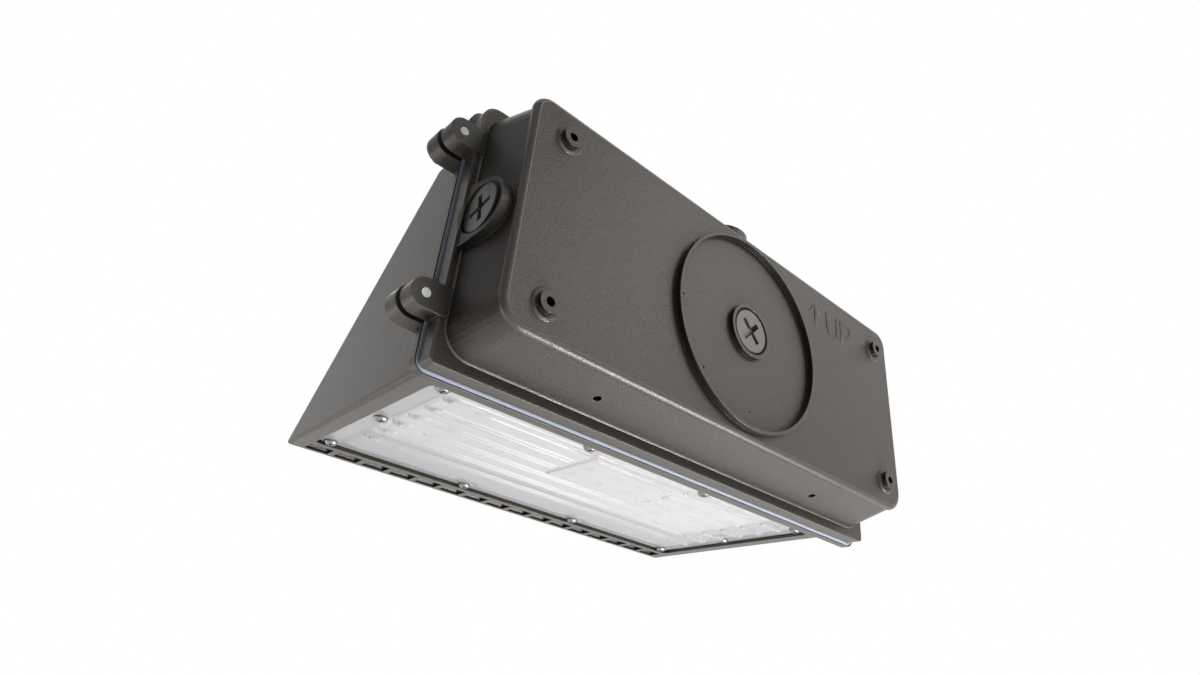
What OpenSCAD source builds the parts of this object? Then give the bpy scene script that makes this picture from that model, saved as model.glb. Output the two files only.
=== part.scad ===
// Wall pack light: a shallow die-cast box fixed to the wall and a hinged hood with a lens in its floor.
// The origin is on the wall, on the axis of the rear conduit hub. Y points into the wall and Z up,
// and a depth is a distance in front of the wall.

/* [Rear box] */
// Width of the box at its back edge
box_w = 266.3; // [240:1:300]
// Distance of the middle of the box from the hub axis, towards the door screws
box_shift = 1.65; // [0:0.05:2]
// Height of the box at its back edge
box_h = 109.2; // [106:1:122]
// Height of the hub axis above the underside of the box, at its back edge
box_drop = 54; // [51:0.5:56]
// Distance of the back of the box from the wall
stand_off = 3; // [2:0.1:5]
// Depth of the box from its back to its flange
box_depth = 28.5; // [27:0.5:40]
// Growth of the box towards the flange on the side of the door screws
side_draft = 4.7; // [2:0.1:8]
// Growth of the box towards the flange on the hinge side
hinge_draft = 2.2; // [0:0.1:6]
// Growth of the underside of the box towards the flange
low_draft = 5.3; // [2:0.1:8]
// Growth of the top of the box towards the flange
top_draft = 3.3; // [1:0.1:6]
// Corner radius of the walls of the box
corner_r = 12; // [10:0.5:14]
// Radius of the upper corners of the rolled rim round the back edge
rim_corner_r = 8.5; // [7:0.5:12]
// Radius of the rolled rim itself
rim_r = 2.5; // [1.8:0.1:3]
// Step from the rolled rim to the wall of the box
rim_step = 0.9; // [0.3:0.1:1.2]
// Distance from the back of the box to where its walls start to spread
back_fillet = 4; // [3.5:0.1:6]
// Wall of the box
box_wall = 3; // [2:0.1:3.4]
// Thickness of the flange
flange_t = 7.7; // [6.5:0.1:12]
// Step from the side of the box to the edge of the flange
flange_step = 3.5; // [2.5:0.1:8]
// Step from the underside of the box to the edge of the flange
flange_step_low = 5.1; // [2.5:0.1:8]
// Radius of the upper corners of the flange
flange_r = 8.5; // [5:0.5:12]
// Radius of the lower corners of the flange
flange_r_low = 3; // [2:0.5:8]

/* [Wall fixing] */
// Distance between the fixing holes along X
fixing_w = 232.8; // [190:1:236]
// Distance between the fixing holes along Z
fixing_h = 79.4; // [70:0.5:86]
// Radius of a fixing hole
fixing_hole_r = 2; // [1.5:0.1:3]
// Radius of a fixing boss at its root
boss_r = 6.2; // [5.4:0.1:8]
// Radius of the face of a fixing boss
boss_face_r = 4.6; // [3.5:0.1:5.2]
// Height of the small collar on a fixing boss
boss_collar_h = 2.1; // [0.4:0.1:2.4]
// Outer radius of the ring rib that covers the junction box
ring_r = 50; // [40:0.5:51]
// Thickness of the ring rib
ring_t = 1.4; // [1:0.1:3]

/* [Conduit ports] */
// Radius of a conduit bore
port_r = 10.75; // [9:0.05:11.2]
// Length of a conduit bore
port_l = 12; // [11:0.5:14]
// Radius of the sealing seat round the mouth of a conduit bore
seal_seat_r = 11.95; // [11.6:0.05:12.4]
// Depth of the sealing seat
seal_seat_d = 1.3; // [1.2:0.05:1.8]
// Radius of the round hub at the rear
rear_hub_r = 13.6; // [13:0.1:16]
// Distance of the face of the rear hub from the wall
rear_hub_gap = 0.7; // [0.2:0.1:1.5]
// Radius of the side hub
hub_r = 13.8; // [13.4:0.1:15]
// Radius of the top hub
top_hub_r = 13.6; // [13:0.1:17]
// Depth of the axis of the side hub
side_hub_depth = 21.5; // [20.5:0.1:22.5]
// Depth of the axis of the top hub
hub_depth = 20.5; // [19.5:0.1:22]
// Height of the middle of the side hub above the drafted wall at its root
side_hub_h = 1.6; // [1.2:0.1:2.4]
// Lean of the face of the side hub
side_hub_tilt = 5.7; // [0:0.1:7]
// Height of the face of the top hub above the drafted wall at its root
top_hub_h = 4; // [2.5:0.1:5]
// Length of a conduit plug
plug_l = 9; // [7:0.5:10.5]
// Distance of the face of a plug below the face of its hub
plug_sink = 0.3; // [0.2:0.1:0.8]
// Length of the cross slot in a plug
plug_slot_l = 14; // [8:0.1:15]
// Width of the cross slot in a plug
plug_slot_w = 2.6; // [1:0.1:3]
// Depth of the cross slot in a plug
plug_slot_d = 2.6; // [1.5:0.1:3.5]

/* [Door screws and hinge] */
// Distance of the door screws past the edge of the flange
lug_reach = 6.7; // [5.5:0.1:9]
// Height of the door screws above and below the hub axis
lug_z = 39.5; // [30:0.5:44]
// Radius of the rear lugs
lug_r = 6.3; // [5:0.1:7]
// Thickness of the rear lugs
lug_t = 8.2; // [7:0.1:8.6]
// Radius of the holes in the rear lugs
lug_hole_r = 2.3; // [2.25:0.05:2.8]
// Radius of the door lugs
door_lug_r = 7; // [6:0.1:8]
// Thickness of the door lugs
door_lug_t = 8.5; // [6:0.1:10]
// Radius of the threaded end of a door screw
screw_r = 2; // [1.9:0.05:2.2]
// Radius of the neck of a door screw
neck_r = 1.6; // [1.3:0.05:1.8]
// Length of the threaded end of a door screw
thread_l = 8; // [5:0.1:8.5]
// Radius of the head of a door screw
screw_head_r = 4.2; // [3.8:0.1:5.5]
// Height of the head of a door screw
screw_head_h = 3; // [2:0.1:4]
// Height of the hinges above and below the hub axis
hinge_z = 32.5; // [28:0.5:36]
// Distance of the hinge axis past the edge of the hood flange
hinge_reach = 5.5; // [5.4:0.1:8]
// Radius of a hinge knuckle
knuckle_r = 5; // [4:0.1:5.2]
// Length of a hinge knuckle
knuckle_l = 8; // [6:0.1:9]
// Radius of a hinge pin
pin_r = 2; // [1.5:0.05:2.5]

/* [Hood] */
// Thickness of the gasket between box and hood
gasket_t = 1.8; // [1.2:0.1:3]
// Thickness of the flange of the hood
door_flange_t = 3.9; // [3:0.1:6]
// Step from the edge of the rear flange to the edge of the hood flange
door_step = 1; // [0.2:0.1:1.2]
// Corner radius of the hood flange
door_flange_r = 6; // [3:0.5:9]
// Inset of the sides of the hood from the edge of its flange
hood_inset = 8; // [6:0.5:10]
// Inset of the floor of the hood from the edge of its flange
hood_inset_low = 6; // [4:0.5:8]
// Inset of the top of the hood from the edge of its flange
hood_inset_top = 1.5; // [0.5:0.5:6]
// Reach of the lip of the hood in front of its pockets
lip_reach = 5.4; // [5:0.1:12]
// Lean of each side of the hood over its whole reach
hood_lean = 2.1; // [0:0.1:3]
// Rise of the floor of the hood over its whole reach
floor_rise = 1.8; // [0:0.1:3]
// Angle of the front slope above level
slope_angle = 47.6; // [44:0.5:54]
// Wall of the hood
hood_wall = 3.2; // [2:0.1:3.8]
// Radius of the edges between the slope and the sides
edge_r = 6; // [5:0.5:8]
// Radius of the bend from the slope to the top
blend_r = 8; // [7:0.5:16]
// Radius of the lip
lip_r = 1.5; // [0.8:0.1:2]

/* [Lens] */
// Distance from the hood's root to the lens opening
lens_back = 14.1; // [12:0.5:20]
// Reach of the lens opening towards the lip
lens_d = 114.7; // [108:0.5:116]
// Width of the rim beside the lens opening
side_rim = 10; // [9:0.5:14]
// Distance of the lens flange inside the rim
lens_recess = 2; // [1:0.1:3]
// Thickness of the lens
lens_t = 2.2; // [1.6:0.1:3]
// Thickness of the lens gasket
lens_gasket_t = 0.8; // [0.5:0.1:1.5]
// Height of the raised tray of the lens
tray_rise = 1.1; // [0.6:0.1:1.2]
// Radius of the raised lines of the lens
ridge_r = 1.5; // [1:0.1:2.4]
// Height of the smooth block of the lens above its tray
block_rise = 1.8; // [0.5:0.1:2.5]
// Distance of the lens screws from the front and rear edges of the opening
screw_inset = 3.6; // [3.5:0.1:4.5]
// Distance of the lens screws from the sides of the opening
screw_margin = 6.9; // [5:0.1:8]
// Thickness of the wall between the lens opening and the pockets
rail_t = 3.9; // [3:0.1:5]
// Reach of the open pockets behind the lip
pocket_d = 9; // [6:0.5:9]
// Pitch of the open pockets
pocket_pitch = 16; // [12:0.5:24]
// Thickness of the dividers between the pockets
divider_t = 3.2; // [2:0.1:5]

/* [Light engine] */
// Thickness of the ledge behind the lens
ledge_t = 3.5; // [3:0.1:5]
// Width of the ledge along the sides of the opening
ledge_side = 13; // [12:0.5:16]
// Width of the ledge along the rear of the opening
ledge_rear = 7; // [6.5:0.1:9]
// Width of the ledge along the front of the opening
ledge_front = 23; // [12:0.5:26]
// Thickness of the heat spreader tray
tray_t = 2; // [1.5:0.1:4]
// Thickness of the LED board
board_t = 1.6; // [1:0.1:2]
// Width of an LED
led_w = 3; // [2:0.1:4]
// Thickness of an LED
led_t = 0.7; // [0.4:0.1:0.9]
// Length of the driver
driver_l = 104; // [80:1:150]
// Width of the driver
driver_w = 40; // [30:1:46]
// Height of the driver
driver_h = 28; // [20:1:34]
// Height of the driver bracket
bracket_h = 13.5; // [10:0.5:18]
// Thickness of the driver bracket's sheet
sheet_t = 1.5; // [1:0.1:2]
// Radius of an LED lead
lead_r = 0.8; // [0.6:0.05:1]

/* [Mains side] */
// Length of the terminal block
terminal_l = 36; // [24:1:44]
// Height of the terminal block
terminal_h = 17; // [12:0.5:20]
// Depth of the terminal block
terminal_d = 15; // [10:0.5:18]
// Distance of the terminal block from the centre plane
terminal_x = 70; // [50:1:90]
// Height of the bosses inside the box
inner_boss_h = 4; // [3:0.5:8]
// Radius of the ground screw
ground_r = 2; // [1.5:0.1:2.5]
// Radius of the weep holes in the underside
weep_r = 1.8; // [1:0.1:2.5]
// Distance of the weep holes from the centre plane
weep_x = 73.5; // [50:0.5:100]

/* [Hidden] */
$fn = 48;
// Faces on the round parts of the blended shells
hull_fn = 32;
// Overrun of a cut past the face that it opens
over = 0.5;
// Thickness of the layers that span the blended shells
layer_t = 0.02;
// Depth by which joined features sink into their carrier
sink = 0.6;
// Clearance of a shaft in its hole
run_gap = 0.06;
// Clearance between faces of pieces that move apart
face_gap = 0.3;
// Clearance round a piece that drops into a recess
drop_gap = 0.4;
// Corner radius of the door gasket, as part of its flange, and its lap past the flange at the hinges
gasket_r = 1.5 * flange_r_low;
gasket_lap = flange_step * 0.7;
bronze = "#5b564d";
steel = "#b9bcbd";

// Depths of the stack from the wall to the hood
d_edge = stand_off + back_fillet;
d_root = stand_off + box_depth;
d_flange = d_root + flange_t;
d_gasket = d_flange + gasket_t;
d_door = d_gasket + face_gap;
d_hood = d_door + door_flange_t;
d_mid = d_door + door_flange_t / 2;
hood_depth = lens_back + lens_d + rail_t + pocket_d + lip_reach;
d_lip = d_hood + hood_depth;

// Outlines of the flanges and of the hood at its root
box_top = box_h - box_drop;
box_half = box_w / 2;
flange_side = box_half + box_shift + side_draft + flange_step;
flange_hinge = box_half - box_shift + hinge_draft + flange_step;
flange_top = box_top + top_draft + flange_step;
flange_low = box_drop + low_draft + flange_step_low;
door_w = 2 * (flange_side + door_step);
door_top = flange_top + door_step;
door_low = flange_low + door_step;
hood_w = door_w - 2 * hood_inset;
hood_top = door_top - hood_inset_top;
hood_low = door_low - hood_inset_low;
// Radius of the lower rear corners of the hood, as a share of its upper edges
floor_r_share = 0.5;

// Front and floor of the hood
floor_front = floor_rise - hood_low;
floor_tilt = atan(floor_rise / hood_depth);
blend_z = hood_top - blend_r;
open_drop = hood_wall + lens_recess + ledge_t;
function slope_y(z, t) = -d_lip + (z - floor_front) / tan(slope_angle) + t / sin(slope_angle);
function side_half(y) = hood_w / 2 - hood_lean * (-y - d_hood) / hood_depth;

// Lens opening, in the frame of the hood's floor
lens_w = hood_w - 2 * side_rim;
lens_front = lens_back + lens_d;
lens_mid = lens_back + lens_d / 2;
lens_top = lens_recess + lens_t;
ledge_z = lens_top + lens_gasket_t;
ledge_top = ledge_z + ledge_t;
lens_r = screw_margin / 2;
window_w = lens_w - 2 * ledge_side;
window_back = lens_back + ledge_rear;
window_front = lens_front - ledge_front;
rail_front = lens_front + rail_t;

// Places of the ten lens screws as half widths and distances from the hood's root
screw_x = lens_w / 2 - screw_margin;
screw_back = lens_back + screw_inset;
screw_front = lens_front - screw_inset;
lens_screw_places = concat(
    [for (x = [-1, -1 / 3, 1 / 3, 1], y = [screw_back, screw_front]) [x * screw_x, -y]],
    [for (x = [-1, 1]) [x * screw_x, -lens_mid]]
);
lens_hole_r = screw_inset / 2;
pilot_r = 1.6;
small_screw_r = pilot_r - run_gap;
small_head_r = pilot_r * 2;
small_head_h = pilot_r * 1.1;
screw_boss_r = pilot_r * 2.1;
screw_boss_h = pilot_r * 3;
lens_screw_l = ledge_z - lens_recess + ledge_t;

// Raised lines and block on the lens
ridge_count = 6;
ridge_clear = 1.25;
ridge_pitch_share = 0.1712;
ridge_half_share = 0.881;
block_half_share = 0.24;
block_back_share = 0.075;
block_front_share = 0.425;
ridge_half = lens_w / 2 * ridge_half_share;
block_half = lens_w / 2 * block_half_share;
block_back = lens_back + lens_d * block_back_share;
block_front = lens_back + lens_d * block_front_share;
// The lines lie over the rows of LEDs, which keep clear of the ledge round the window
ridge_start = window_back + led_w / 2 + ridge_clear;
ridge_pitch = (window_front - window_back) * ridge_pitch_share;
function ridge_y(i) = -ridge_start - i * ridge_pitch;

// Tray, board and LEDs
spread_w = lens_w - drop_gap * 4;
tray_back = lens_back + drop_gap;
tray_front = lens_front - drop_gap;
tray_screw_share = 2 / 3;
tray_screw_x = screw_x * tray_screw_share;
tray_pilot_l = ledge_t * 0.8;
board_w = window_w - 2 * drop_gap;
board_back = window_back + drop_gap;
board_front = window_front - drop_gap;
board_z = ledge_top - board_t;
led_count = 12;
led_span_share = 0.94;
tray_top = ledge_top + tray_t;

// Driver and its bracket, above the tray
driver_back_share = 0.18;
driver_back = lens_back + lens_d * driver_back_share;
ear_l = small_head_r * 2 + drop_gap;
body_l = driver_l - 2 * ear_l;
ear_t = sheet_t * 1.5;
foot_l = ear_l;
bracket_margin = sheet_t;
bracket_w = driver_l + 2 * bracket_margin;
bracket_back = driver_back - bracket_margin;
bracket_front = driver_back + driver_w + bracket_margin;
deck_z = tray_top + bracket_h;
bracket_screw_l = sheet_t + tray_t;
driver_screw_l = sheet_t + ear_t;
// Row of the screws on each foot, as shares of the bracket's depth
foot_row_shares = [0.2, 0.8];

// Route of the LED leads, as distances from the driver's rear face and heights of the stack
lead_x = block_half * 0.8;
lead_pitch = lead_r * 3;
lead_bend = lead_r * 4;
lead_y = -board_back - lead_bend;
lead_top = deck_z + driver_h / 3;
lead_low = board_z - lead_r;
lead_run = lead_bend * 3;
notch_w = lead_pitch + lead_r * 4;
lead_sides = 8;
lead_bend_steps = 4;

// Hubs, ports and plugs
side_face = box_half + box_shift + side_draft + side_hub_h;
top_face = box_top + top_draft + top_hub_h;
// Place, turn and twist of the rear, side and top ports
port_places = [[0, -rear_hub_gap, 0], [side_face, -side_hub_depth, 0], [0, -hub_depth, top_face]];
port_turns = [[-90, 0, 0], [0, 90, 0], [0, 0, 0]];
port_twists = [45, 102, 20];
plug_r = port_r - run_gap;
plug_wall = port_r * 0.25;
plug_cup_d = plug_l - plug_slot_d - plug_wall;
// Half width of the side and top hubs where they meet the flange, as a share of their radius
tongue_share = 1.1;
seal_mid_r = (port_r + seal_seat_r) / 2;
seal_wire_r = (seal_seat_r - port_r) / 2 - run_gap;

// Drill marks near the ring, as shares of its radius and angles
mark_shares = [[0.898, 0], [0.861, -45], [0.808, -92]];
mark_r = ring_t * 0.4;

// Door screws and hinge
lug_x = flange_side + lug_reach;
door_hole_r = screw_r * 1.1;
hinge_x = door_w / 2 + hinge_reach;
hinge_d = (d_flange + d_door) / 2;
// Front and back of the arms of the knuckles, as a share of the knuckle's radius from the pin
arm_share = 0.8;
arm_front = hinge_d + knuckle_r * arm_share;
arm_back = hinge_d - knuckle_r * arm_share;
pin_hole_r = pin_r + run_gap;
pin_head_r = pin_r * 1.6;
pin_head_h = pin_r * 0.6;
pin_l = 3 * knuckle_l + 2 * face_gap;
drive_r = screw_head_r * 0.45;
drive_d = screw_head_h * 0.6;

// Pieces on the mains side
inner_back = stand_off + box_wall;
terminal_screw_share = 0.36;
pole_count = 3;
pole_r = terminal_h * 0.16;
ground_z = fixing_h / 4;
ground_l = inner_boss_h * 0.9;

// Outline from one side to the other and from low to high, with its own radius for the lower corners
module outline(left, right, low, high, r, r_low) {
    translate([left, low + r_low]) square([right - left, high - low - r - r_low]);
    translate([left + r, high - r]) square([right - left - 2 * r, r]);
    translate([left + r_low, low]) square([right - left - 2 * r_low, r_low]);
    for (x = [left + r, right - r]) translate([x, high - r]) circle(r = r);
    for (x = [left + r_low, right - r_low]) translate([x, low + r_low]) circle(r = r_low);
}

// Upright plate across the depth, from one depth to another
module plate(left, right, low, high, r, r_low, from, to) {
    translate([0, -from, 0])
        rotate([90, 0, 0])
            linear_extrude(height = to - from) outline(left, right, low, high, r, r_low);
}

// Rod along the depth
module rod(x, z, r, from, to) {
    translate([x, -from, z]) rotate([90, 0, 0]) cylinder(r = r, h = to - from);
}

// Flat pane in the frame of the hood's floor
module pane(w, back, front, r, from, to) {
    translate([0, 0, from])
        linear_extrude(height = to - from) outline(-w / 2, w / 2, -front, -back, r, r);
}

module floor_frame() {
    translate([0, -d_hood, -hood_low]) rotate([-floor_tilt, 0, 0]) children();
}

module at_port(i) {
    translate(port_places[i]) rotate(port_turns[i]) children();
}

// Screw with its shank along +Z and its head below the seat
module pan_screw(head_r, head_h, shank_r, shank_l) {
    cylinder(r = shank_r, h = shank_l);
    difference() {
        intersection() {
            translate([0, 0, -head_h]) cylinder(r = head_r, h = head_h);
            translate([0, 0, head_r - head_h]) sphere(r = head_r * 1.35 - head_h * 0.2);
        }
        translate([0, 0, -head_h - over])
            for (turn = [0, 90])
                rotate([0, 0, turn])
                    translate([-head_r * 0.6, -head_r * 0.12, 0])
                        cube([head_r * 1.2, head_r * 0.24, over + head_h * 0.6]);
    }
}

// One layer of the rear box, which grows from its back edge to its root, with a radius for its upper corners
module box_layer(d, inset, r, thick = layer_t) {
    grow = max(0, (d - d_edge) / (d_root - d_edge));
    plate(box_shift - box_half - hinge_draft * grow + inset, box_shift + box_half + side_draft * grow - inset,
        inset - box_drop - low_draft * grow, box_top + top_draft * grow - inset,
        r - inset, corner_r - inset, d, d + thick, $fn = hull_fn);
}

// Outside of the box: a rolled rim and, a step inside it, the drafted walls
module box_outside() {
    hull()
        for (turn = [0 : 15 : 150])
            box_layer(stand_off + rim_r * (1 - cos(turn)), rim_r * (1 - sin(turn)), rim_corner_r);
    hull() {
        box_layer(stand_off + rim_r, rim_step, corner_r);
        box_layer(d_root, 0, corner_r, sink);
    }
}

// Space inside the box, with a round back edge and open towards the hood
module box_space() {
    hull() {
        for (turn = [0 : 15 : 90])
            box_layer(d_edge - (back_fillet - box_wall) * cos(turn),
                box_wall + (back_fillet - box_wall) * (1 - sin(turn)), corner_r);
        box_layer(d_root, box_wall, corner_r, d_flange + over - d_root);
    }
}

// Hub on an axis at a depth, that runs out into the flange as a tongue and has a leaning face
module port_hub(r, depth, tilt) {
    foot = d_root - depth + sink;
    rise = foot * tan(tilt);
    difference() {
        hull() {
            translate([0, 0, -port_l]) cylinder(r = r, h = port_l + rise, $fn = hull_fn);
            translate([-r * tongue_share, -foot, -port_l]) cube([2 * r * tongue_share, sink, port_l + rise]);
        }
        rotate([-tilt, 0, 0]) translate([-2 * r, -2 * r, 0]) cube([4 * r, 4 * r, port_l]);
    }
}

module port_cut() {
    translate([0, 0, -port_l - 2 * over]) cylinder(r = port_r, h = port_l * 1.5);
    translate([0, 0, -seal_seat_d]) cylinder(r = seal_seat_r, h = port_l / 3);
}

module fixing_places() {
    for (x = [-1, 1], z = [-1, 1]) translate([x * fixing_w / 2, 0, z * fixing_h / 2]) children();
}

module fixing_boss() {
    rod(0, 0, boss_face_r, 0, boss_collar_h + sink);
    rod(0, 0, boss_r, boss_collar_h, inner_back + box_wall / 2);
}

module housing_knuckle(z) {
    translate([-hinge_x, -hinge_d, z]) cylinder(r = knuckle_r, h = knuckle_l);
    translate([-hinge_x, -d_flange, z]) cube([hinge_x - flange_hinge + sink, d_flange - arm_back, knuckle_l]);
}

module rear_lug(z) {
    rod(lug_x, z, lug_r, d_flange - lug_t, d_flange);
    root_x = flange_side - flange_step - sink;
    translate([root_x, -d_flange, z - lug_r]) cube([lug_x - root_x, lug_t, 2 * lug_r]);
}

module rear_housing() {
    color(bronze)
    difference() {
        union() {
            difference() {
                union() {
                    box_outside();
                    plate(-flange_hinge, flange_side, -flange_low, flange_top, flange_r, flange_r_low, d_root, d_flange);
                    at_port(1) port_hub(hub_r, side_hub_depth, side_hub_tilt);
                    at_port(2) port_hub(top_hub_r, hub_depth, 0);
                }
                box_space();
            }
            // Ring rib, fixing bosses and rear hub
            difference() {
                rod(0, 0, ring_r, 0, stand_off + sink);
                rod(0, 0, ring_r - ring_t, -over, stand_off + sink + over);
            }
            fixing_places() fixing_boss();
            at_port(0) translate([0, 0, -port_l]) cylinder(r = rear_hub_r, h = port_l);
            // Bosses of the terminal block and the ground screw
            for (side = [-1, 1])
                rod(terminal_x + side * terminal_l * terminal_screw_share, 0, screw_boss_r,
                    inner_back - sink, inner_back + inner_boss_h);
            rod(-terminal_x, -ground_z, ground_r * 2, inner_back - sink, inner_back + inner_boss_h);
            for (z = [-lug_z, lug_z]) rear_lug(z);
            for (z = [-hinge_z, hinge_z], side = [0, 1])
                housing_knuckle(z - pin_l / 2 + side * (pin_l - knuckle_l));
        }
        for (i = [0 : 2]) at_port(i) port_cut();
        fixing_places() rod(0, 0, fixing_hole_r, -over, inner_back + box_wall);
        for (side = [-1, 1]) {
            rod(terminal_x + side * terminal_l * terminal_screw_share, 0, pilot_r,
                inner_back, inner_back + inner_boss_h + over);
            translate([side * weep_x, -hub_depth, -box_drop - low_draft - over])
                cylinder(r = weep_r, h = box_wall + low_draft + 2 * over);
        }
        rod(-terminal_x, -ground_z, ground_r + run_gap, inner_back, inner_back + inner_boss_h + over);
        for (mark = mark_shares)
            rod(ring_r * mark[0] * cos(mark[1]), ring_r * mark[0] * sin(mark[1]), mark_r,
                stand_off - over, stand_off + mark_r);
        for (z = [-lug_z, lug_z]) rod(lug_x, z, lug_hole_r, d_root - over, d_flange + over);
        for (z = [-hinge_z, hinge_z])
            translate([-hinge_x, -hinge_d, z - pin_l / 2 - over]) cylinder(r = pin_hole_r, h = pin_l + 2 * over);
    }
}

module door_gasket() {
    color("#8f98a3")
    difference() {
        plate(-flange_hinge - gasket_lap, flange_side + drop_gap / 2, -flange_low - drop_gap / 2,
            flange_top + drop_gap / 2, gasket_r, gasket_r, d_flange, d_gasket);
        plate(box_shift + box_wall - box_half - hinge_draft, hood_w / 2 - hood_wall, -box_drop - low_draft + box_wall,
            hood_top - hood_wall, gasket_r, gasket_r, d_flange - over, d_gasket + over);
    }
}

module hinge_pins() {
    color(steel)
    for (z = [-hinge_z, hinge_z])
        translate([-hinge_x, -hinge_d, z - pin_l / 2]) {
            cylinder(r = pin_r, h = pin_l);
            translate([0, 0, pin_l]) cylinder(r = pin_head_r, h = pin_head_h);
        }
}

module terminal_block() {
    color("#e8e2d0")
    translate([terminal_x, -inner_back - inner_boss_h, 0])
        difference() {
            translate([-terminal_l / 2, -terminal_d, -terminal_h / 2]) cube([terminal_l, terminal_d, terminal_h]);
            for (i = [0 : pole_count - 1], side = [-1, 1])
                translate([(i - (pole_count - 1) / 2) * terminal_l / (pole_count + 1) * 0.8,
                    -terminal_d / 2, side * terminal_h / 2])
                    cylinder(r = pole_r, h = terminal_h / 3, center = true);
            for (side = [-1, 1])
                rod(side * terminal_l * terminal_screw_share, 0, pilot_r + drop_gap, -over, terminal_d + over);
        }
}

module terminal_screws() {
    color(steel)
    for (side = [-1, 1])
        translate([terminal_x + side * terminal_l * terminal_screw_share,
            -inner_back - inner_boss_h - terminal_d, 0])
            rotate([-90, 0, 0])
                pan_screw(small_head_r, small_head_h, small_screw_r, terminal_d + inner_boss_h * 0.8);
}

module ground_screw() {
    color("#3f8f55")
    translate([-terminal_x, -inner_back - inner_boss_h, -ground_z])
        rotate([-90, 0, 0])
            pan_screw(ground_r * 2, ground_r * 1.1, ground_r, ground_l);
}

module plug(i) {
    color("#8d8a84")
    at_port(i)
        rotate([0, 0, port_twists[i]])
            difference() {
                translate([0, 0, -plug_sink - plug_l]) cylinder(r = plug_r, h = plug_l);
                for (turn = [0, 90])
                    rotate([0, 0, turn])
                        translate([-plug_slot_l / 2, -plug_slot_w / 2, -plug_sink - plug_slot_d])
                            cube([plug_slot_l, plug_slot_w, plug_slot_d + over]);
                translate([0, 0, -plug_sink - plug_l - over])
                    cylinder(r = plug_r - plug_wall, h = plug_cup_d + over);
            }
}

module seal(i) {
    color("#1d1d1d")
    at_port(i)
        translate([0, 0, -seal_seat_d + seal_wire_r + run_gap])
            rotate_extrude() translate([seal_mid_r, 0]) circle(r = seal_wire_r, $fn = 24);
}

module plug_rear() { plug(0); }
module plug_side() { plug(1); }
module plug_top() { plug(2); }
module seal_rear() { seal(0); }
module seal_side() { seal(1); }
module seal_top() { seal(2); }

// Round end of the hood's upper edges on both sides, at a place on the bend
module bend_balls(inset) {
    for (i = [0 : 3]) {
        turn = 90 + slope_angle * i / 3;
        y = slope_y(blend_z, blend_r) + (blend_r - edge_r) * cos(turn);
        z = blend_z + (blend_r - edge_r) * sin(turn);
        for (side = [-1, 1])
            translate([side * (side_half(y) - edge_r), y, z]) sphere(r = edge_r - inset);
    }
}

module hood_shape() {
    hull($fn = hull_fn) {
        plate(-hood_w / 2, hood_w / 2, -hood_low, hood_top, edge_r, edge_r * floor_r_share,
            d_mid, d_mid + layer_t, $fn = hull_fn);
        bend_balls(0, $fn = hull_fn);
        y = slope_y(floor_front + lip_r, lip_r);
        for (side = [-1, 1])
            translate([side * (side_half(y) - lip_r), y, floor_front + lip_r]) sphere(r = lip_r, $fn = hull_fn);
    }
}

// Space inside the hood's walls, left open through its floor and its flange
module hood_space() {
    low = hood_low + open_drop;
    y = slope_y(-low + lip_r, hood_wall + lip_r);
    hull() {
        plate(hood_wall - hood_w / 2, hood_w / 2 - hood_wall, -low, hood_top - hood_wall,
            edge_r - hood_wall, edge_r - hood_wall, d_door - over, d_mid, $fn = hull_fn);
        bend_balls(hood_wall, $fn = hull_fn);
        for (side = [-1, 1])
            translate([side * (side_half(y) - hood_wall - lip_r), y, lip_r - low]) sphere(r = lip_r, $fn = hull_fn);
    }
}

// Box in the frame of the hood's floor
module floor_box(w, back, front, from, to) {
    translate([-w / 2, -front, from]) cube([w, front - back, to - from]);
}

module hood_cavity() {
    intersection() {
        hood_space();
        floor_frame() {
            floor_box(hood_w, lens_back - hood_wall - over, lens_front, ledge_top, hood_low + hood_top);
            floor_box(hood_w, -door_flange_t - 2 * over, lens_back - hood_wall, hood_wall, hood_low + hood_top);
        }
    }
}

module pockets() {
    count = floor((lens_w / 2 - divider_t) / pocket_pitch);
    intersection() {
        hood_space();
        floor_frame()
            difference() {
                floor_box(lens_w, rail_front, rail_front + pocket_d, -over, hood_low);
                for (i = [-count : count])
                    translate([i * pocket_pitch, 0, 0])
                        floor_box(divider_t, rail_front - over, rail_front + pocket_d + over, -2 * over, hood_low + over);
            }
    }
}

module door_lug(z) {
    rod(lug_x, z, door_lug_r, d_door, d_door + door_lug_t);
    translate([hood_w / 2 - hood_wall / 2, -d_door - door_lug_t, z - door_lug_r])
        cube([lug_x - hood_w / 2 + hood_wall / 2, door_lug_t, 2 * door_lug_r]);
}

module door_knuckle(z) {
    translate([-hinge_x, -hinge_d, z - knuckle_l / 2]) cylinder(r = knuckle_r, h = knuckle_l);
    translate([-hinge_x, -arm_front, z - knuckle_l / 2])
        cube([hinge_reach + sink, arm_front - d_door, knuckle_l]);
}

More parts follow.
